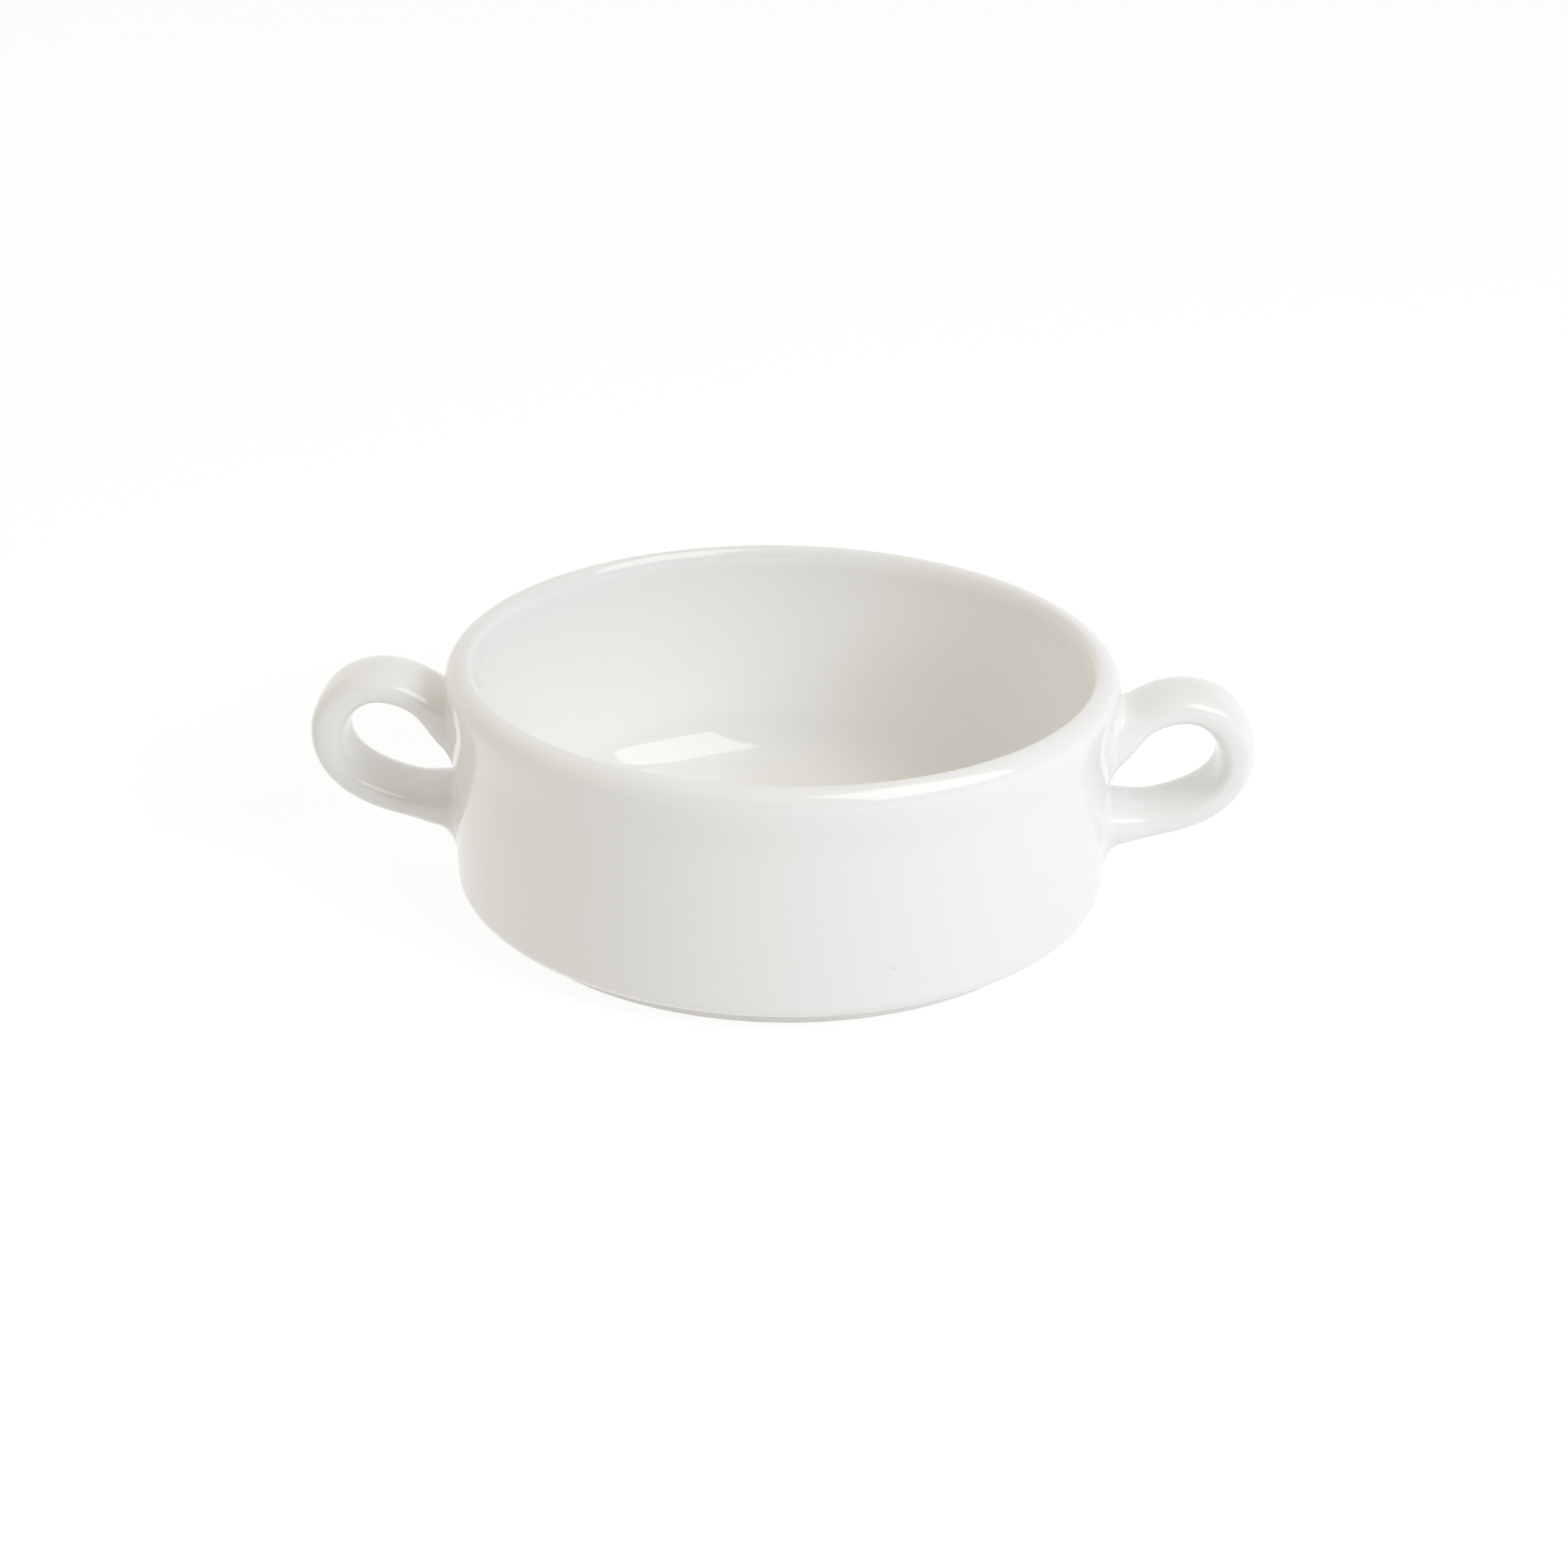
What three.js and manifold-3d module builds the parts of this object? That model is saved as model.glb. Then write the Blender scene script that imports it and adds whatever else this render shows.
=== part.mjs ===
// A two-handled consomme bowl in glazed porcelain. The round bowl has a rolled lip and a stacking foot.
// Two looped strap handles are cast apart and stuck to its wall, each root on a thin bed of slip.
// Millimetres, +Z up. The origin is under the middle of the foot, and the handles lie along X.
import * as THREE from "three";
import { mergeVertices } from "three/addons/utils/BufferGeometryUtils.js";
import Module from "manifold-3d";

const wasm = await Module();
wasm.setup();

// Bowl: overall size and lip
const rimRadius = 55;
const bowlHeight = 41.5;
const lipOuterWidth = 3.3;
const lipOuterHeight = 3;
const lipInnerWidth = 1.8;
const lipInnerHeight = 3.4;
const lipProud = 0.85;
const neckLength = 8.5;

// Bowl: wall, floor and inside
const wallDraft = 0.25;
const mouthDraft = 0.7;
const floorThickness = 3.1;
const floorFilletWidth = 9;
const floorFilletHeight = 16;

// Bowl: stacking foot, which drops inside the mouth of the bowl below
const stackClearance = 1.3;
const stepHeight = 3.25;
const stepRound = 2.25;
const stepFillet = 1.2;
const footRingWidth = 3.7;
const footRound = 0.6;
const recessDepth = 0.9;
const recessFillet = 0.3;

// Handles: path of the strap's middle, measured from the wall and from the middle of the wall's height
const handleReach = 20.5;
const handleDrop = 1;
const rootSpacing = 14.3;
const loopRadius = 8.65;
const loopRise = 13.95;
const upperArmAngle = 48;
const lowerArmAngle = 3;
const upperArmFullness = 0.36;
const crownFullness = 0.45;
const farSideFullness = 0.67;
const lowerArmFullness = 0.51;

// Handles: section of the strap, which thickens round its bend, and thickens and widens into its two roots
const strapThickness = 4.7;
const strapWidth = 13.8;
const bendThickness = 6.1;
const bendPastCrown = 10;
const bendLength = 11;
const upperRootThickness = 7;
const lowerRootThickness = 6.5;
const upperRootWidth = 14.8;
const lowerRootWidth = 15.6;
const flareLength = 8;
const sectionPower = 3.2;

// Slip between each root and the wall
const slipThickness = 0.6;
const slipBead = 0.4;
const fitGap = 0.3;

// Facets: sides of a turned or lofted ring, and steps along a curve
const bowlSides = 72;
const strapSides = 14;
const handleRings = 30;
const slipRings = 8;
const smallRoundSteps = 2;
const largeRoundSteps = 5;
const samePoint = 1e-6;

// Levels and radii that follow from the sizes above
const crestRadius = rimRadius - lipOuterWidth;
const mouthRadius = crestRadius - lipInnerWidth;
const wallTopRadius = rimRadius - lipProud;
const wallBaseRadius = wallTopRadius - wallDraft;
const innerBaseRadius = mouthRadius - mouthDraft;
const footRadius = mouthRadius - stackClearance;
const footInsideRadius = footRadius - footRingWidth;
const floorLevel = recessDepth + floorThickness;
const lipLevel = bowlHeight - lipOuterHeight;
const neckLevel = lipLevel - neckLength;
const handleLevel = (stepHeight + bowlHeight) / 2 - handleDrop;
const buriedLength = upperRootThickness;
const rootLength = buriedLength + flareLength;

const glazedPorcelain = new THREE.MeshStandardMaterial({ color: 0xf0ede6, roughness: 0.1, metalness: 0 });
const glazedSlip = new THREE.MeshStandardMaterial({ color: 0xe9e4d9, roughness: 0.15, metalness: 0 });

// Points round a quarter of an ellipse in the radius and height plane, with its angles in quarter turns.
function bend(radius, height, across, up, from, to, steps) {
  const quarter = Math.PI / 2;
  const curve = new THREE.EllipseCurve(radius, height, across, up, from * quarter, to * quarter, from > to);
  return curve.getPoints(steps);
}

function fillet(radius, height, size, from, to) {
  return bend(radius, height, size, size, from, to, smallRoundSteps);
}

// Points up the outside of the wall, from the end of its lower round to the widest level of the lip.
// The wall is straight to the neck and then swells into the lip. All of it is grown outwards.
function wallPoints(grown) {
  const swell = new THREE.CubicBezierCurve(
    new THREE.Vector2(wallTopRadius + grown, neckLevel),
    new THREE.Vector2(wallTopRadius + grown, neckLevel + neckLength / 2),
    new THREE.Vector2(rimRadius + grown, lipLevel - neckLength / 2),
    new THREE.Vector2(rimRadius + grown, lipLevel),
  );
  const base = new THREE.Vector2(wallBaseRadius + grown, stepHeight + stepRound);
  return [base, ...swell.getPoints(largeRoundSteps)];
}

// A profile of radius and height points turned about the Z axis.
function turned(profile) {
  const spread = profile.filter((point, i) => i === 0 || point.distanceTo(profile[i - 1]) > samePoint);
  return new THREE.LatheGeometry(spread, bowlSides).rotateX(Math.PI / 2);
}

// A closed geometry as a solid that can be joined and cut.
function solidOf(geometry) {
  const bare = geometry.clone();
  bare.deleteAttribute("normal");
  bare.deleteAttribute("uv");
  const merged = mergeVertices(bare);
  const vertProperties = merged.getAttribute("position").array;
  const triVerts = new Uint32Array(merged.index.array);
  return new wasm.Manifold(new wasm.Mesh({ numProp: 3, vertProperties, triVerts }));
}

// A solid back as a geometry.
function geometryOf(solid) {
  const cut = solid.getMesh();
  const geometry = new THREE.BufferGeometry();
  geometry.setAttribute("position", new THREE.BufferAttribute(cut.vertProperties, 3));
  geometry.setIndex(new THREE.BufferAttribute(cut.triVerts, 1));
  geometry.computeVertexNormals();
  return geometry;
}

// The bowl: out under the recess, over the foot and the step, up the wall, over the lip, and down inside
// to the floor. The fillets beside the foot are limited by the height that they have.
function bowlGeometry() {
  const recess = Math.min(recessFillet, recessDepth - footRound);
  const step = Math.min(stepFillet, stepHeight - footRound);
  const lipInnerLevel = bowlHeight - lipInnerHeight;
  const floorEdge = innerBaseRadius - floorFilletWidth;
  const filletLevel = floorLevel + floorFilletHeight;
  const profile = [
    new THREE.Vector2(0, recessDepth),
    ...fillet(footInsideRadius - recess, recessDepth - recess, recess, 1, 0),
    ...fillet(footInsideRadius + footRound, footRound, footRound, 2, 3),
    ...fillet(footRadius - footRound, footRound, footRound, 3, 4),
    ...fillet(footRadius + step, stepHeight - step, step, 2, 1),
    ...bend(wallBaseRadius - stepRound, stepHeight + stepRound, stepRound, stepRound, 3, 4, largeRoundSteps),
    ...wallPoints(0),
    ...bend(crestRadius, lipLevel, lipOuterWidth, lipOuterHeight, 0, 1, largeRoundSteps),
    ...bend(crestRadius, lipInnerLevel, lipInnerWidth, lipInnerHeight, 1, 2, largeRoundSteps),
    ...bend(floorEdge, filletLevel, floorFilletWidth, floorFilletHeight, 0, -1, largeRoundSteps),
    new THREE.Vector2(0, floorLevel),
  ];
  return turned(profile);
}

// The space taken by the bowl and by what lies on its wall, which cuts the roots to fit.
function wallSpace(grown) {
  const profile = [
    new THREE.Vector2(0, stepHeight),
    new THREE.Vector2(wallBaseRadius + grown, stepHeight),
    ...wallPoints(grown),
    new THREE.Vector2(rimRadius + grown, bowlHeight),
    new THREE.Vector2(0, bowlHeight),
  ];
  return solidOf(turned(profile));
}

// The middle line of a strap. It rises from the upper root, rounds the crown in a quarter circle, falls
// in a long curve and runs back almost level to the lower root. Both ends run on straight inside the wall.
function strapLine() {
  const at = (reach, level) => new THREE.Vector3(wallTopRadius + reach, 0, handleLevel + level);
  const step = (start, angle, length) => {
    const slope = THREE.MathUtils.degToRad(angle);
    return start.clone().add(new THREE.Vector3(length * Math.cos(slope), 0, length * Math.sin(slope)));
  };
  const outwards = 0;
  const upwards = 90;
  const crownReach = handleReach - loopRadius;
  const roundness = (4 / 3) * (Math.SQRT2 - 1) * loopRadius;

  const upperRoot = at(0, rootSpacing / 2);
  const crown = at(crownReach, loopRise);
  const farSide = at(handleReach, loopRise - loopRadius);
  const lowerRoot = at(0, -rootSpacing / 2);
  const farDrop = farSide.z - lowerRoot.z;

  const upperBuried = new THREE.LineCurve3(step(upperRoot, upperArmAngle, -buriedLength), upperRoot);
  const upperArm = new THREE.CubicBezierCurve3(
    upperRoot,
    step(upperRoot, upperArmAngle, upperArmFullness * crownReach),
    step(crown, outwards, -crownFullness * crownReach),
    crown,
  );
  const bendOver = new THREE.CubicBezierCurve3(
    crown,
    step(crown, outwards, roundness),
    step(farSide, upwards, roundness),
    farSide,
  );
  const lowerArm = new THREE.CubicBezierCurve3(
    farSide,
    step(farSide, upwards, -farSideFullness * farDrop),
    step(lowerRoot, lowerArmAngle, lowerArmFullness * handleReach),
    lowerRoot,
  );
  const lowerBuried = new THREE.LineCurve3(lowerRoot, step(lowerRoot, lowerArmAngle, -buriedLength));

  const line = new THREE.CurvePath();
  for (const stretch of [upperBuried, upperArm, bendOver, lowerArm, lowerBuried]) {
    line.add(stretch);
  }
  return line;
}

// A stretch of the strap between two distances along its middle line, as a closed solid of rounded
// rectangular rings. Grown makes the ring wider all round.
function strapSolid(line, from, to, rings, grown) {
  const length = line.getLength();
  const [, crownDistance] = line.getCurveLengths();
  const bendDistance = crownDistance + bendPastCrown;
  const positions = [];
  const triangles = [];
  for (let ring = 0; ring <= rings; ring += 1) {
    const distance = from + ((to - from) * ring) / rings;
    const share = Math.min(distance / length, 1);
    const middle = line.getPoint(share);
    const along = line.getTangent(share);
    const outer = new THREE.Vector3(-along.z, 0, along.x);
    const nearBend = 1 - THREE.MathUtils.smoothstep(Math.abs(distance - bendDistance), 0, bendLength);
    const nearUpper = 1 - THREE.MathUtils.smoothstep(distance - buriedLength, 0, flareLength);
    const nearLower = 1 - THREE.MathUtils.smoothstep(length - buriedLength - distance, 0, flareLength);
    const thickness =
      strapThickness +
      nearBend * (bendThickness - strapThickness) +
      nearUpper * (upperRootThickness - strapThickness) +
      nearLower * (lowerRootThickness - strapThickness);
    const width =
      strapWidth + nearUpper * (upperRootWidth - strapWidth) + nearLower * (lowerRootWidth - strapWidth);
    for (let side = 0; side < strapSides; side += 1) {
      const turn = (2 * Math.PI * side) / strapSides;
      const across = Math.sign(Math.cos(turn)) * Math.abs(Math.cos(turn)) ** (2 / sectionPower);
      const sideways = Math.sign(Math.sin(turn)) * Math.abs(Math.sin(turn)) ** (2 / sectionPower);
      const point = middle.clone().addScaledVector(outer, across * (thickness / 2 + grown));
      point.y -= sideways * (width / 2 + grown);
      positions.push(point.x, point.y, point.z);
    }
  }
  for (let ring = 0; ring < rings; ring += 1) {
    for (let side = 0; side < strapSides; side += 1) {
      const here = ring * strapSides + side;
      const beside = ring * strapSides + ((side + 1) % strapSides);
      triangles.push(here, beside, beside + strapSides, here, beside + strapSides, here + strapSides);
    }
  }
  const lastRing = rings * strapSides;
  for (let side = 1; side < strapSides - 1; side += 1) {
    triangles.push(0, side + 1, side);
    triangles.push(lastRing, lastRing + side, lastRing + side + 1);
  }
  const geometry = new THREE.BufferGeometry();
  geometry.setAttribute("position", new THREE.Float32BufferAttribute(positions, 3));
  geometry.setIndex(triangles);
  return solidOf(geometry);
}

// A handle ends short of the wall by the bed of slip and the gap on either side of it.
function handleGeometry(line) {
  const strap = strapSolid(line, 0, line.getLength(), handleRings, 0);
  return geometryOf(strap.subtract(wallSpace(fitGap + slipThickness + fitGap)));
}

// The bed of slip under one root follows the wall, and its edge stands out round the root as a bead.
function slipGeometry(line, from, to) {
  const root = strapSolid(line, from, to, slipRings, slipBead);
  const bed = root.intersect(wallSpace(fitGap + slipThickness));
  return geometryOf(bed.subtract(wallSpace(fitGap)));
}

function named(name, geometry, material) {
  const mesh = new THREE.Mesh(geometry, material);
  mesh.name = name;
  return mesh;
}

const line = strapLine();
const lineLength = line.getLength();
const handleShape = handleGeometry(line);
const upperSlipShape = slipGeometry(line, 0, rootLength);
const lowerSlipShape = slipGeometry(line, lineLength - rootLength, lineLength);

const bowl = new THREE.Group();
bowl.add(named("bowl_body", bowlGeometry(), glazedPorcelain));

for (const [side, turn] of [["right", 0], ["left", Math.PI]]) {
  const handle = new THREE.Group();
  handle.rotation.z = turn;
  handle.add(named(`${side}_handle`, handleShape, glazedPorcelain));
  handle.add(named(`${side}_handle_upper_slip`, upperSlipShape, glazedSlip));
  handle.add(named(`${side}_handle_lower_slip`, lowerSlipShape, glazedSlip));
  bowl.add(handle);
}

export default bowl;
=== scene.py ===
import math

import bpy
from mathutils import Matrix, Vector


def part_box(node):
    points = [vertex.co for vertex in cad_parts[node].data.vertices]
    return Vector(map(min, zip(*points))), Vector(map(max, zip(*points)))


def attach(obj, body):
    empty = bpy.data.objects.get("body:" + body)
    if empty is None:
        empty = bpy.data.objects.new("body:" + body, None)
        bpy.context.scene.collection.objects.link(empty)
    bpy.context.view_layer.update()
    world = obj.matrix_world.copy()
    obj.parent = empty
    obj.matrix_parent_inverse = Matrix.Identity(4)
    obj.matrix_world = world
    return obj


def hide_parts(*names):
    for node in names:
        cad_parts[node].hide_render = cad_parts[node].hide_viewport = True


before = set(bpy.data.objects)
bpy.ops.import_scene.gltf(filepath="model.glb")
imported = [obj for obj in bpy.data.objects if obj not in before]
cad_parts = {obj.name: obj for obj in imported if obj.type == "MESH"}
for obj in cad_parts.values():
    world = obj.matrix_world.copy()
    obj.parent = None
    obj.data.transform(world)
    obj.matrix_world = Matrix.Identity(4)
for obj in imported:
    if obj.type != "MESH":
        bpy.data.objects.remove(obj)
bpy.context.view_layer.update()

# Bowl
# One piece of porcelain, shaped on a wheel: a straight wall with a rolled lip, a rounded inside and a
# narrower foot that drops into the mouth of a bowl below. It is dipped in clear glaze and fired.
mm = 0.001
bowl_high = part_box("bowl_body")[1]
rim_radius = bowl_high.x
bowl_height = bowl_high.z
lip_outer_width, lip_outer_height = 3.3 * mm, 3.0 * mm
lip_inner_width, lip_inner_height = 1.8 * mm, 3.4 * mm
lip_proud = 0.85 * mm
neck_length = 8.5 * mm
wall_draft = 0.25 * mm
mouth_draft = 0.7 * mm
floor_level = 4.0 * mm
floor_fillet_width, floor_fillet_height = 9.0 * mm, 16.0 * mm
stack_clearance = 1.3 * mm
step_height, step_round, step_fillet = 3.25 * mm, 2.25 * mm, 1.2 * mm
foot_ring_width, foot_round = 3.7 * mm, 0.6 * mm
recess_depth, recess_fillet = 0.9 * mm, 0.3 * mm
wiped_height = 0.3 * mm
crest_radius = rim_radius - lip_outer_width
mouth_radius = crest_radius - lip_inner_width
wall_top_radius = rim_radius - lip_proud
wall_base_radius = wall_top_radius - wall_draft
inner_base_radius = mouth_radius - mouth_draft
floor_radius = inner_base_radius - floor_fillet_width
foot_radius = mouth_radius - stack_clearance
foot_inside_radius = foot_radius - foot_ring_width
lip_level = bowl_height - lip_outer_height
lip_inner_level = bowl_height - lip_inner_height
neck_level = lip_level - neck_length
wall_base_level = step_height + step_round
fillet_level = floor_level + floor_fillet_height
wheel_steps = 256
straight_steps, neck_steps, inside_steps = 12, 16, 20
flat_shares = (0, 0.25, 0.5, 0.75)
merge_distance = 0.002 * mm
crease_angle = math.radians(40)


def smooth_step(value):
    """0 below 0 and 1 above 1, with a soft rise between."""
    value = min(max(value, 0.0), 1.0)
    return value * value * (3 - 2 * value)


def wall_radius(level):
    """Radius of the wall's outside: its lower round, then straight to the neck, then swelling to the lip."""
    if level < wall_base_level:
        below = min(wall_base_level - level, step_round)
        return wall_base_radius - step_round + math.sqrt(step_round ** 2 - below ** 2)
    up_wall = min(max((level - wall_base_level) / (neck_level - wall_base_level), 0.0), 1.0)
    swell = smooth_step((level - neck_level) / neck_length)
    return wall_base_radius + wall_draft * up_wall + lip_proud * swell


def bend(radius, level, across, up, start, end, steps):
    """Points round part of an ellipse in the profile plane, between two angles in quarter turns."""
    points = []
    for i in range(steps + 1):
        turn = (start + (end - start) * i / steps) * math.pi / 2
        points.append(Vector((radius + across * math.cos(turn), 0, level + up * math.sin(turn))))
    return points


def smooth_outside():
    """Merges doubles in the active piece, turns its faces outwards and smooths all but its sharp edges."""
    bpy.ops.object.mode_set(mode='EDIT')
    bpy.ops.mesh.select_all(action='SELECT')
    bpy.ops.mesh.remove_doubles(threshold=merge_distance)
    bpy.ops.mesh.normals_make_consistent(inside=False)
    bpy.ops.object.mode_set(mode='OBJECT')
    bpy.ops.object.shade_smooth_by_angle(angle=crease_angle)


# The profile runs from the middle of the underside, up the outside, over the lip and down to the floor.
profile = [Vector((foot_inside_radius * share, 0, recess_depth)) for share in flat_shares]
profile += bend(foot_inside_radius - recess_fillet, recess_depth - recess_fillet,
                recess_fillet, recess_fillet, start=1, end=0, steps=5)
profile += bend(foot_inside_radius + foot_round, foot_round,
                foot_round, foot_round, start=2, end=3, steps=7)
profile += bend(foot_radius - foot_round, foot_round,
                foot_round, foot_round, start=3, end=4, steps=7)
profile += bend(foot_radius + step_fillet, step_height - step_fillet,
                step_fillet, step_fillet, start=2, end=1, steps=8)
profile += bend(wall_base_radius - step_round, wall_base_level,
                step_round, step_round, start=3, end=4, steps=14)
for step in range(straight_steps + 1):
    level = wall_base_level + (neck_level - wall_base_level) * step / straight_steps
    profile.append(Vector((wall_radius(level), 0, level)))
for step in range(1, neck_steps + 1):
    level = neck_level + neck_length * step / neck_steps
    profile.append(Vector((wall_radius(level), 0, level)))
profile += bend(crest_radius, lip_level,
                lip_outer_width, lip_outer_height, start=0, end=1, steps=26)
profile += bend(crest_radius, lip_inner_level,
                lip_inner_width, lip_inner_height, start=1, end=2, steps=32)
for step in range(1, inside_steps):
    level = lip_inner_level + (fillet_level - lip_inner_level) * step / inside_steps
    profile.append(Vector((mouth_radius - mouth_draft * smooth_step(step / inside_steps), 0, level)))
profile += bend(floor_radius, fillet_level,
                floor_fillet_width, floor_fillet_height, start=0, end=-1, steps=32)
profile += [Vector((floor_radius * share, 0, floor_level)) for share in reversed(flat_shares)]

bpy.ops.object.select_all(action='DESELECT')
bpy.ops.mesh.primitive_plane_add(size=mm, location=profile[0])
bowl = bpy.context.object
bowl.name = "bowl"
bpy.ops.object.transform_apply(location=True, rotation=True, scale=True)
bpy.ops.object.mode_set(mode='EDIT')
bpy.ops.mesh.select_all(action='SELECT')
bpy.ops.mesh.merge(type='CENTER')
for here, there in zip(profile, profile[1:]):
    if (there - here).length > merge_distance:
        bpy.ops.mesh.extrude_region_move(TRANSFORM_OT_translate={"value": there - here})
bpy.ops.mesh.select_all(action='SELECT')
bpy.ops.mesh.spin(steps=wheel_steps, angle=2 * math.pi, center=(0, 0, 0), axis=(0, 0, 1))
bpy.ops.object.mode_set(mode='OBJECT')
smooth_outside()


def linear(code):
    """A linear colour from an sRGB hex code."""
    channels = [int(code[i:i + 2], 16) / 255 for i in (1, 3, 5)]
    return [c / 12.92 if c <= 0.04045 else ((c + 0.055) / 1.055) ** 2.4 for c in channels] + [1.0]


def add(tree, kind, settings=None, inputs=None):
    """A node with its settings. Its inputs, by name or number, are set to a value or linked to a socket."""
    node = tree.nodes.new(kind)
    for name, value in (settings or {}).items():
        setattr(node, name, value)
    for key, value in (inputs or {}).items():
        if isinstance(value, bpy.types.NodeSocket):
            tree.links.new(value, node.inputs[key])
        else:
            node.inputs[key].default_value = value
    return node


def empty_tree(owner):
    """The node tree of a material or a world, with its first nodes taken out."""
    owner.use_nodes = True
    owner.node_tree.nodes.clear()
    return owner.node_tree


def noise(tree, place, size, detail, roughness):
    """A cloudy pattern from 0 to 1, whose forms are about as long as the size."""
    return add(tree, "ShaderNodeTexNoise", {},
               {"Vector": place, "Scale": 1 / size, "Detail": detail, "Roughness": roughness}).outputs["Fac"]


def mixed(tree, share, first, second):
    """The first colour where the share is 0, and the second where it is 1."""
    return add(tree, "ShaderNodeMix", {"data_type": 'RGBA'}, {0: share, 6: first, 7: second}).outputs[2]


# Glazed porcelain: a warm white body under a clear gloss glaze, fired smooth. The eye gets a soft even
# white with small sharp reflections that waver a little where the glaze has flowed, and now and then a
# brown speck of iron from the clay, no bigger than a pin's point.
glaze = bpy.data.materials.new("glazed_porcelain")
tree = empty_tree(glaze)
place = add(tree, "ShaderNodeTexCoord").outputs["Object"]
cloud = noise(tree, place, size=38 * mm, detail=2.0, roughness=0.5)
tint = mixed(tree, cloud, linear("#F9F8F5"), linear("#F7F5F1"))
speck_spacing, speck_radius = 14 * mm, 0.2 * mm
off_speck = add(tree, "ShaderNodeTexVoronoi", {},
                {"Vector": place, "Scale": 1 / speck_spacing}).outputs["Distance"]
speck = add(tree, "ShaderNodeMapRange", {},
            {"Value": off_speck, "From Min": 0.5 * speck_radius / speck_spacing,
             "From Max": speck_radius / speck_spacing, "To Min": 0.8, "To Max": 0.0}).outputs[0]
tint = mixed(tree, speck, tint, linear("#97765A"))
flow = noise(tree, place, size=9 * mm, detail=1.0, roughness=0.4)
ripple = add(tree, "ShaderNodeBump", {},
             {"Strength": 0.35, "Distance": 0.010 * mm, "Height": flow}).outputs[0]
gloss = add(tree, "ShaderNodeMapRange", {}, {"Value": cloud, "To Min": 0.012, "To Max": 0.03}).outputs[0]
shader = add(tree, "ShaderNodeBsdfPrincipled", {},
             {"Base Color": tint, "IOR": 1.52, "Roughness": gloss, "Normal": ripple}).outputs[0]
add(tree, "ShaderNodeOutputMaterial", {}, {"Surface": shader})
bowl.data.materials.append(glaze)

# Bare porcelain: the ring that the bowl stands on is wiped free of glaze before firing. The eye gets a
# dull cream band with a fine grain, a little greyed where the table has rubbed it.
bare = bpy.data.materials.new("bare_porcelain")
tree = empty_tree(bare)
place = add(tree, "ShaderNodeTexCoord").outputs["Object"]
grain = noise(tree, place, size=0.5 * mm, detail=3.0, roughness=0.6)
rubbed = noise(tree, place, size=6 * mm, detail=2.0, roughness=0.6)
rub = add(tree, "ShaderNodeMapRange", {}, {"Value": rubbed, "From Min": 0.45, "From Max": 0.75}).outputs[0]
tint = mixed(tree, grain, linear("#EFE9DD"), linear("#E6DECF"))
tint = mixed(tree, rub, tint, linear("#D3CCC0"))
dull = add(tree, "ShaderNodeMapRange", {}, {"Value": grain, "To Min": 0.6, "To Max": 0.8}).outputs[0]
tooth = add(tree, "ShaderNodeBump", {},
            {"Strength": 0.6, "Distance": 0.02 * mm, "Height": grain}).outputs[0]
shader = add(tree, "ShaderNodeBsdfPrincipled", {},
             {"Base Color": tint, "IOR": 1.5, "Roughness": dull, "Normal": tooth}).outputs[0]
add(tree, "ShaderNodeOutputMaterial", {}, {"Surface": shader})
bowl.data.materials.append(bare)
for face in bowl.data.polygons:
    if face.center.z < wiped_height:
        face.material_index = 1
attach(bowl, "root")
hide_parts("bowl_body")

# Handles
# Each is a looped strap cast in the same porcelain and stuck to the wall with slip. The slip is wiped
# round both roots, so the strap runs into the wall in a soft fillet, and one glaze covers them all.
handle_reach = 20.5 * mm
handle_drop = 1.0 * mm
handle_level = (step_height + bowl_height) / 2 - handle_drop
root_spacing = 14.3 * mm
loop_radius, loop_rise = 8.65 * mm, 13.95 * mm
upper_arm_angle, lower_arm_angle = math.radians(48), math.radians(3)
upper_arm_fullness, crown_fullness = 0.36, 0.45
far_side_fullness, lower_arm_fullness = 0.67, 0.51
strap_thickness, strap_width = 4.7 * mm, 13.8 * mm
bend_thickness, bend_past_crown, bend_length = 6.1 * mm, 10.0 * mm, 11.0 * mm
upper_root_thickness, upper_root_width = 7.0 * mm, 14.8 * mm
lower_root_thickness, lower_root_width = 6.5 * mm, 15.6 * mm
flare_length = 8.0 * mm
section_power = 3.2
buried_length = 14.0 * mm
section_points = 48
strap_rings, fillet_rings = 64, 14
halvings = 40
# The rings of a fillet crowd together near the wall. Its edge lies just under the wall's skin, and from
# there the strap goes on to its end inside the wall.
crowding = 1.5
sunk = 0.008 * mm
root_depth = 1.2 * mm
# Each fillet by its length along the strap and its length along the wall.
upper_fillets = {"outer": (2.8 * mm, 2.9 * mm), "inner": (4.0 * mm, 3.2 * mm), "side": (2.2 * mm, 2.0 * mm)}
lower_fillets = {"outer": (5.5 * mm, 6.5 * mm), "inner": (1.8 * mm, 1.4 * mm), "side": (2.4 * mm, 2.2 * mm)}


def heading(angle, length):
    """A step in the handle's plane, at an angle up from straight out."""
    return Vector((math.cos(angle), 0, math.sin(angle))) * length


def curved(a, b, c, d, steps):
    """Points along a cubic curve, without its first one."""
    points = []
    for i in range(1, steps + 1):
        t = i / steps
        points.append(a * (1 - t) ** 3 + b * 3 * t * (1 - t) ** 2 + c * 3 * t * t * (1 - t) + d * t ** 3)
    return points


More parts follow.
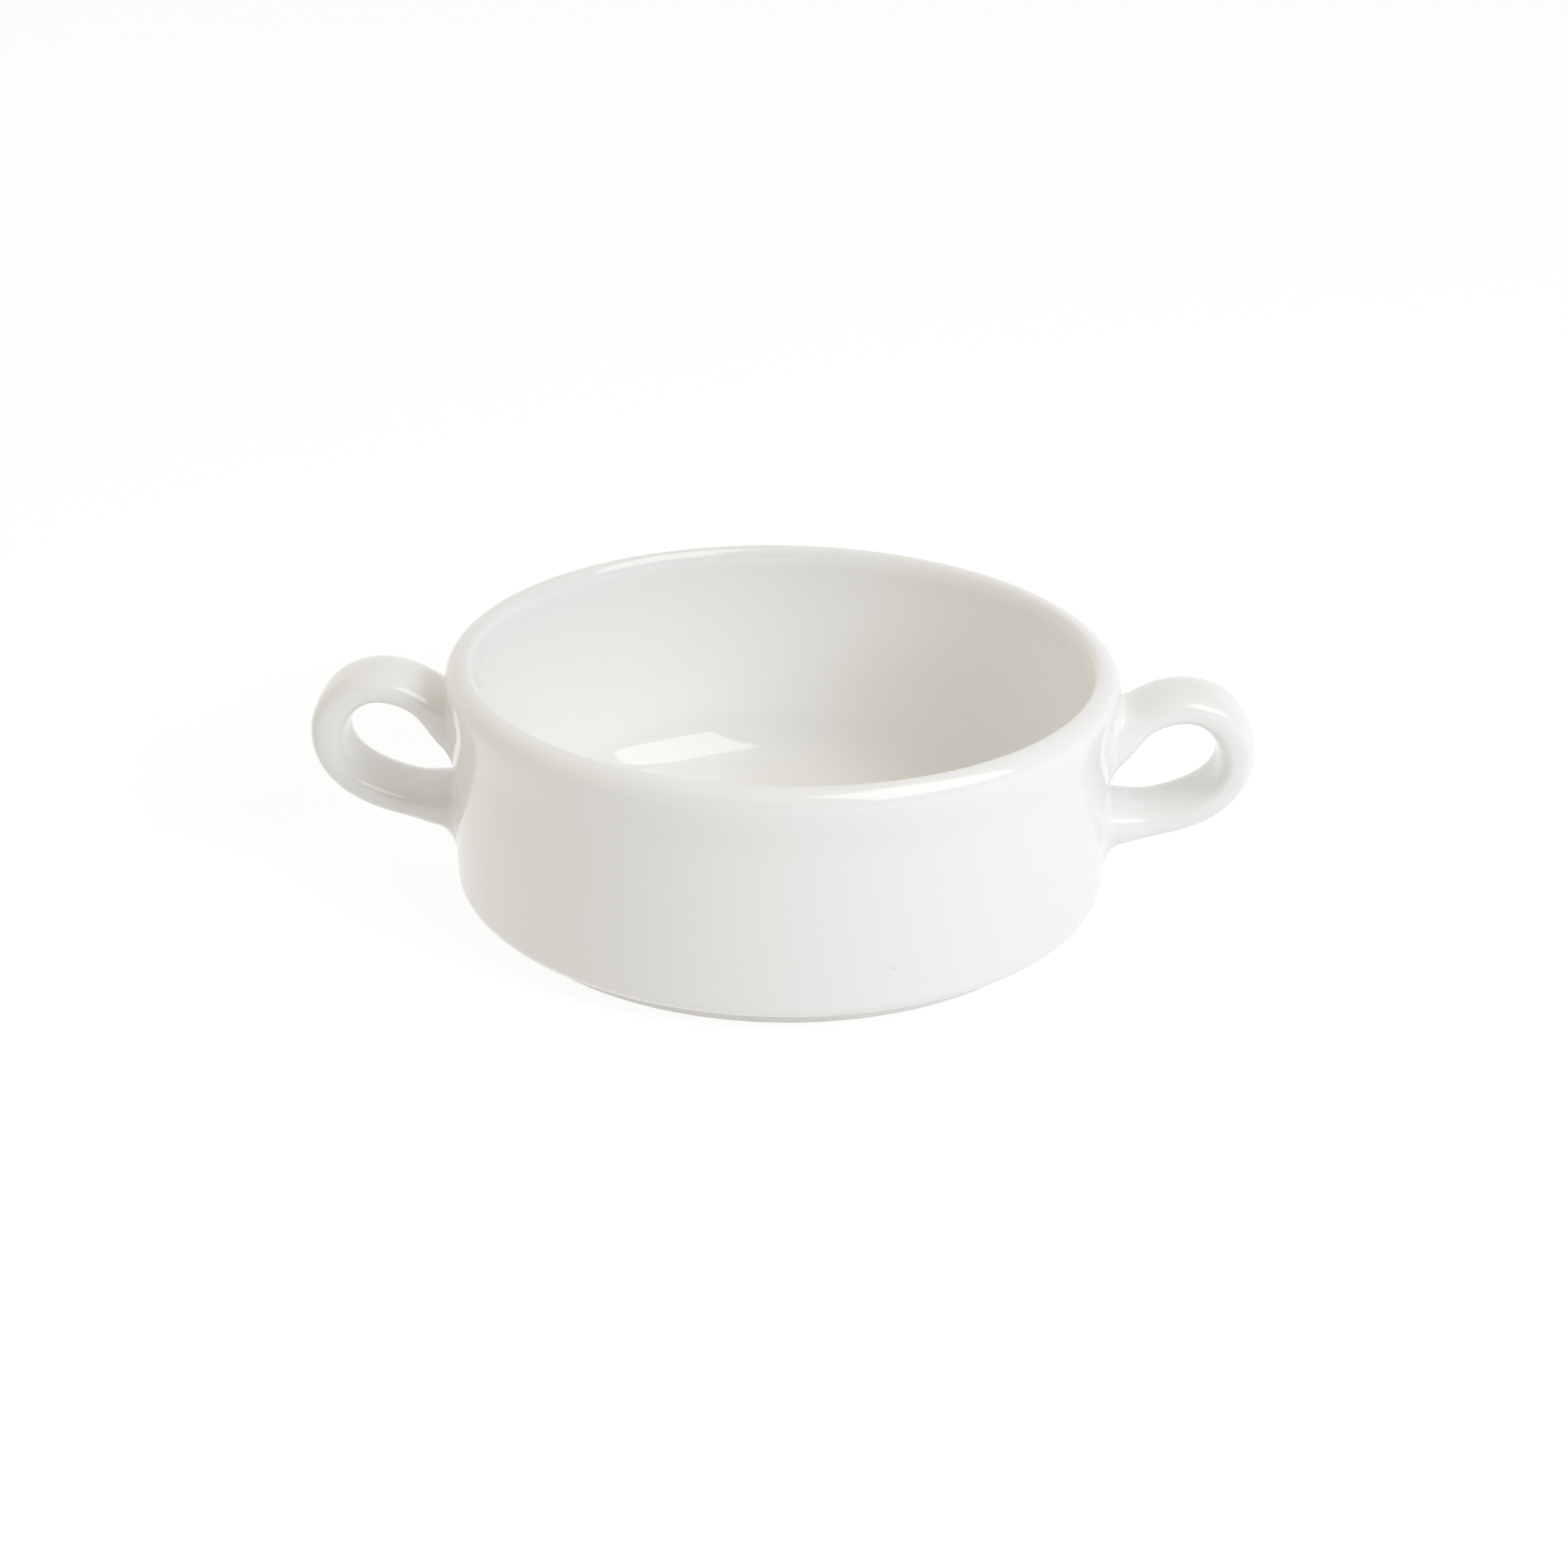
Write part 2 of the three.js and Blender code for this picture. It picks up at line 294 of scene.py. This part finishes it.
# The strap's middle line climbs from the upper root to the crown, turns down round the far side and comes
# back to the lower root. Both its ends are carried on straight into the wall.
crown_reach = handle_reach - loop_radius
upper_root = Vector((wall_top_radius, 0, handle_level + root_spacing / 2))
crown = Vector((wall_top_radius + crown_reach, 0, handle_level + loop_rise))
far_side = Vector((wall_top_radius + handle_reach, 0, handle_level + loop_rise - loop_radius))
lower_root = Vector((wall_top_radius, 0, handle_level - root_spacing / 2))
far_drop = far_side.z - lower_root.z
roundness = 4 / 3 * (math.sqrt(2) - 1) * loop_radius
line = [upper_root - heading(upper_arm_angle, buried_length), upper_root]
line += curved(upper_root, upper_root + heading(upper_arm_angle, upper_arm_fullness * crown_reach),
               crown - heading(0, crown_fullness * crown_reach), crown, steps=60)
line += curved(crown, crown + heading(0, roundness),
               far_side + heading(math.pi / 2, roundness), far_side, steps=60)
line += curved(far_side, far_side - heading(math.pi / 2, far_side_fullness * far_drop),
               lower_root + heading(lower_arm_angle, lower_arm_fullness * handle_reach),
               lower_root, steps=90)
line.append(lower_root - heading(lower_arm_angle, buried_length))
reached, ways = [0.0], []
for here, there in zip(line, line[1:]):
    reached.append(reached[-1] + (there - here).length)
    ways.append((there - here).normalized())
line_length = reached[-1]
bend_distance = reached[line.index(crown)] + bend_past_crown


def strap_point(distance, across, sideways):
    """A point of the strap's skin, at a distance along its middle line and a place round its section."""
    i = 0
    while i < len(line) - 2 and reached[i + 1] < distance:
        i += 1
    share = (distance - reached[i]) / (reached[i + 1] - reached[i])
    middle = line[i].lerp(line[i + 1], share)
    start_way = (ways[max(i - 1, 0)] + ways[i]).normalized()
    end_way = (ways[i] + ways[min(i + 1, len(ways) - 1)]).normalized()
    along = start_way.lerp(end_way, share).normalized()
    outer = Vector((-along.z, 0, along.x))
    near_bend = 1 - smooth_step(abs(distance - bend_distance) / bend_length)
    near_upper = 1 - smooth_step((distance - buried_length) / flare_length)
    near_lower = 1 - smooth_step((line_length - buried_length - distance) / flare_length)
    thickness = (strap_thickness + near_bend * (bend_thickness - strap_thickness)
                 + near_upper * (upper_root_thickness - strap_thickness)
                 + near_lower * (lower_root_thickness - strap_thickness))
    width = (strap_width + near_upper * (upper_root_width - strap_width)
             + near_lower * (lower_root_width - strap_width))
    return middle + outer * (across * thickness / 2) - Vector((0, sideways * width / 2, 0))


def root_distance(across, sideways, outside, inside, fill):
    """Where along the strap a line of its skin meets the wall, or the slip that fills part of the neck."""
    for _ in range(halvings):
        middle = (outside + inside) / 2
        point = strap_point(middle, across, sideways)
        wall = wall_radius(point.z)
        if math.hypot(point.x, point.y) < wall + fill * (rim_radius - wall):
            inside = middle
        else:
            outside = middle
    return outside


def on_wall(around, level, depth):
    """A point in the wall, by its distance round from the handle's middle, its level and its depth."""
    radius = wall_radius(level) - depth
    turn = around / wall_top_radius
    return Vector((radius * math.cos(turn), radius * math.sin(turn), level))


section = []
for i in range(section_points):
    turn = 2 * math.pi * i / section_points
    across = math.copysign(abs(math.cos(turn)) ** (2 / section_power), math.cos(turn))
    sideways = math.copysign(abs(math.sin(turn)) ** (2 / section_power), math.sin(turn))
    section.append((across, sideways))

# The outline of each root is unrolled with the wall, and the fillet's feet are set out square to it.
half_way = line_length / 2
roots = {}
for root, far_inside, fill, fillets in (("upper", 0.0, 1.0, upper_fillets),
                                        ("lower", line_length, 0.0, lower_fillets)):
    meets = [root_distance(across, sideways, half_way, far_inside, fill * max(across, 0) ** section_power)
             for across, sideways in section]
    corners = [strap_point(distance, *around) for distance, around in zip(meets, section)]
    flat = [Vector((wall_top_radius * math.atan2(corner.y, corner.x), corner.z)) for corner in corners]
    centre = sum(flat, Vector((0, 0))) / section_points
    feet, sizes = [], []
    for i, (across, sideways) in enumerate(section):
        shares = {"outer": max(across, 0) ** section_power, "inner": max(-across, 0) ** section_power,
                  "side": abs(sideways) ** section_power}
        along_strap, along_wall = (sum(shares[name] * fillets[name][k] for name in fillets) for k in (0, 1))
        beside = flat[(i + 1) % section_points] - flat[i - 1]
        away = Vector((beside.y, -beside.x)).normalized()
        if away.dot(flat[i] - centre) < 0:
            away = -away
        feet.append(flat[i] + away * along_wall)
        sizes.append(along_strap)
    roots[root] = (meets, corners, feet, sizes)

# Each row runs along the strap at one place of its section, from inside the wall to inside the wall.
rows = []
for i, (across, sideways) in enumerate(section):
    upper_meets, upper_corner, upper_foot, upper_size = (part[i] for part in roots["upper"])
    lower_meets, lower_corner, lower_foot, lower_size = (part[i] for part in roots["lower"])
    first, last = upper_meets + upper_size, lower_meets - lower_size
    row = [on_wall(*upper_foot, root_depth)]
    for step in range(fillet_rings):
        t = (step / fillet_rings) ** crowding
        row.append(on_wall(*upper_foot, sunk) * (1 - t) ** 2 + upper_corner * 2 * t * (1 - t)
                   + strap_point(first, across, sideways) * t * t)
    for step in range(strap_rings + 1):
        row.append(strap_point(first + (last - first) * step / strap_rings, across, sideways))
    for step in range(1, fillet_rings + 1):
        t = 1 - (1 - step / fillet_rings) ** crowding
        row.append(strap_point(last, across, sideways) * (1 - t) ** 2 + lower_corner * 2 * t * (1 - t)
                   + on_wall(*lower_foot, sunk) * t * t)
    row.append(on_wall(*lower_foot, root_depth))
    rows.append(row)
rows.append(rows[0])

for side, turned in (("right", 0.0), ("left", math.pi)):
    bpy.ops.object.select_all(action='DESELECT')
    bpy.ops.mesh.primitive_grid_add(x_subdivisions=section_points, y_subdivisions=len(rows[0]) - 1, size=mm)
    handle = bpy.context.object
    handle.name = side + "_handle_strap"
    for i, vertex in enumerate(handle.data.vertices):
        ring, around = divmod(i, section_points + 1)
        vertex.co = rows[around][ring]
    bpy.ops.object.mode_set(mode='EDIT')
    bpy.ops.mesh.select_all(action='SELECT')
    bpy.ops.mesh.remove_doubles(threshold=merge_distance)
    bpy.ops.mesh.select_all(action='DESELECT')
    bpy.ops.mesh.select_non_manifold()
    bpy.ops.mesh.edge_face_add()
    bpy.ops.object.mode_set(mode='OBJECT')
    handle.rotation_euler.z = turned
    bpy.ops.object.transform_apply(location=True, rotation=True, scale=True)
    smooth_outside()
    handle.data.materials.append(glaze)
    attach(handle, "root")
    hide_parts(side + "_handle", side + "_handle_upper_slip", side + "_handle_lower_slip")

# Floor
# A sheet of matt paper that the bowl stands on, lit a little from below, which lightens the foot. For the
# camera and in reflections it glows more, so it shows white, and it keeps the bowl's soft shadow.
sheet_size = 8.0
sheet_glow = 1.2
unseen_share, seen_share = 0.35, 0.7


def seen_rays(tree):
    """1 for rays from the camera, in reflections and through clear things, and 0 for all others."""
    rays = add(tree, "ShaderNodeLightPath").outputs
    seen = rays["Is Camera Ray"]
    for name in ("Is Glossy Ray", "Is Transmission Ray"):
        seen = add(tree, "ShaderNodeMath", {"operation": 'MAXIMUM'}, {0: seen, 1: rays[name]}).outputs[0]
    return seen


bpy.ops.object.select_all(action='DESELECT')
bpy.ops.mesh.primitive_plane_add(size=sheet_size, location=(0, 0, 0))
floor = bpy.context.object
floor.name = "floor"
paper = bpy.data.materials.new("matt_white_paper")
tree = empty_tree(paper)
share = add(tree, "ShaderNodeMapRange", {},
            {"Value": seen_rays(tree), "To Min": unseen_share, "To Max": seen_share}).outputs[0]
sheet = add(tree, "ShaderNodeBsdfDiffuse", {}, {"Color": linear("#DDDDDB")}).outputs[0]
glow = add(tree, "ShaderNodeEmission", {}, {"Color": linear("#FFFFFF"), "Strength": sheet_glow}).outputs[0]
lit = add(tree, "ShaderNodeMixShader", {}, {0: share, 1: sheet, 2: glow}).outputs[0]
add(tree, "ShaderNodeOutputMaterial", {}, {"Surface": lit})
floor.data.materials.append(paper)

# Studio light
# A lamp at the front right gives the main light, and a softbox above shows only as a reflection. The
# walls fill in: warm and bright at the left, pale behind and above, dim at the right, dark in front.
world = bpy.data.worlds.new("studio")
bpy.context.scene.world = world
tree = empty_tree(world)
place = add(tree, "ShaderNodeTexCoord").outputs["Generated"]
way = add(tree, "ShaderNodeSeparateXYZ", {}, {0: place}).outputs
# The walls on either side of each axis: left and right, front and back, below and above.
wall_colours = {"X": ("#EFE5DC", "#7C7982"), "Y": ("#3A3A3A", "#E1E3EB"), "Z": ("#E1DED0", "#E1DED0")}
walls = None
for axis, (near_colour, far_colour) in wall_colours.items():
    beyond = add(tree, "ShaderNodeMath", {"operation": 'GREATER_THAN'}, {0: way[axis], 1: 0.0}).outputs[0]
    share = add(tree, "ShaderNodeMath", {"operation": 'MULTIPLY'}, {0: way[axis], 1: way[axis]}).outputs[0]
    wall = mixed(tree, beyond, linear(near_colour), linear(far_colour))
    wall = add(tree, "ShaderNodeVectorMath", {"operation": 'SCALE'}, {0: wall, "Scale": share}).outputs[0]
    if walls:
        wall = add(tree, "ShaderNodeVectorMath", {"operation": 'ADD'}, {0: walls, 1: wall}).outputs[0]
    walls = wall
# Near the horizon the studio shows white to the camera and in reflections.
white_below, walls_above = 0.15, 0.35
low = add(tree, "ShaderNodeMapRange", {},
          {"Value": way["Z"], "From Min": white_below, "From Max": walls_above,
           "To Min": 1.0, "To Max": 0.0}).outputs[0]
share = add(tree, "ShaderNodeMath", {"operation": 'MULTIPLY'}, {0: seen_rays(tree), 1: low}).outputs[0]
walls = mixed(tree, share, walls, linear("#FFFFFF"))
lit = add(tree, "ShaderNodeBackground", {}, {"Color": walls, "Strength": 1.0}).outputs[0]
add(tree, "ShaderNodeOutputWorld", {}, {"Surface": lit})


def way_to(turn, rise):
    """The way from the bowl to a lamp or camera, turned to the right from the front and raised."""
    return Vector((math.cos(rise) * math.sin(turn), -math.cos(rise) * math.cos(turn), math.sin(rise)))


key_distance, key_size, key_glow = 0.9, 0.5, 5.6
key_way = way_to(math.radians(50), math.radians(34))
bpy.ops.object.light_add(type='AREA', location=key_way * key_distance)
key = bpy.context.object
key.name = "key_lamp"
key.rotation_euler = key_way.to_track_quat('Z', 'Y').to_euler()
key.data.shape, key.data.size = 'SQUARE', key_size
key.data.energy = key_glow * math.pi * key_size ** 2
key.data.color = linear("#ECF3FF")[:3]
key.visible_glossy = False

softbox_place, softbox_degrees = (0.269, -0.123, 0.634), (57.9, 27.8, 77.7)
softbox_width, softbox_height, softbox_glow = 0.533, 0.604, 2.9
bpy.ops.object.light_add(type='AREA', location=softbox_place)
softbox = bpy.context.object
softbox.name = "softbox"
softbox.rotation_euler = [math.radians(angle) for angle in softbox_degrees]
softbox.data.shape = 'RECTANGLE'
softbox.data.size, softbox.data.size_y = softbox_width, softbox_height
softbox.data.energy = softbox_glow * math.pi * softbox_width * softbox_height
softbox.visible_diffuse = False

# Under the lip the glaze mirrors itself many times over, so more of those bounces are followed.
bpy.context.scene.cycles.glossy_bounces = 12

# Camera
# It looks a little down on the bowl from the front, and is tipped by about a degree.
view_target = Vector((0.47, 0.0, 18.25)) * mm
view_distance = 471.4 * mm
view_way = way_to(math.radians(1.146), math.radians(24.677))
view_tip = math.radians(1.069)
bpy.ops.object.camera_add()
camera = bpy.context.object
camera.location = view_target + view_way * view_distance
camera.rotation_euler = view_way.to_track_quat('Z', 'Y').to_euler()
camera.rotation_euler.rotate_axis('Z', view_tip)
camera.data.sensor_width = 36.0
camera.data.lens = 64.97
camera.data.clip_start = 0.01
bpy.context.scene.camera = camera
bpy.context.scene.view_settings.view_transform = 'Standard'
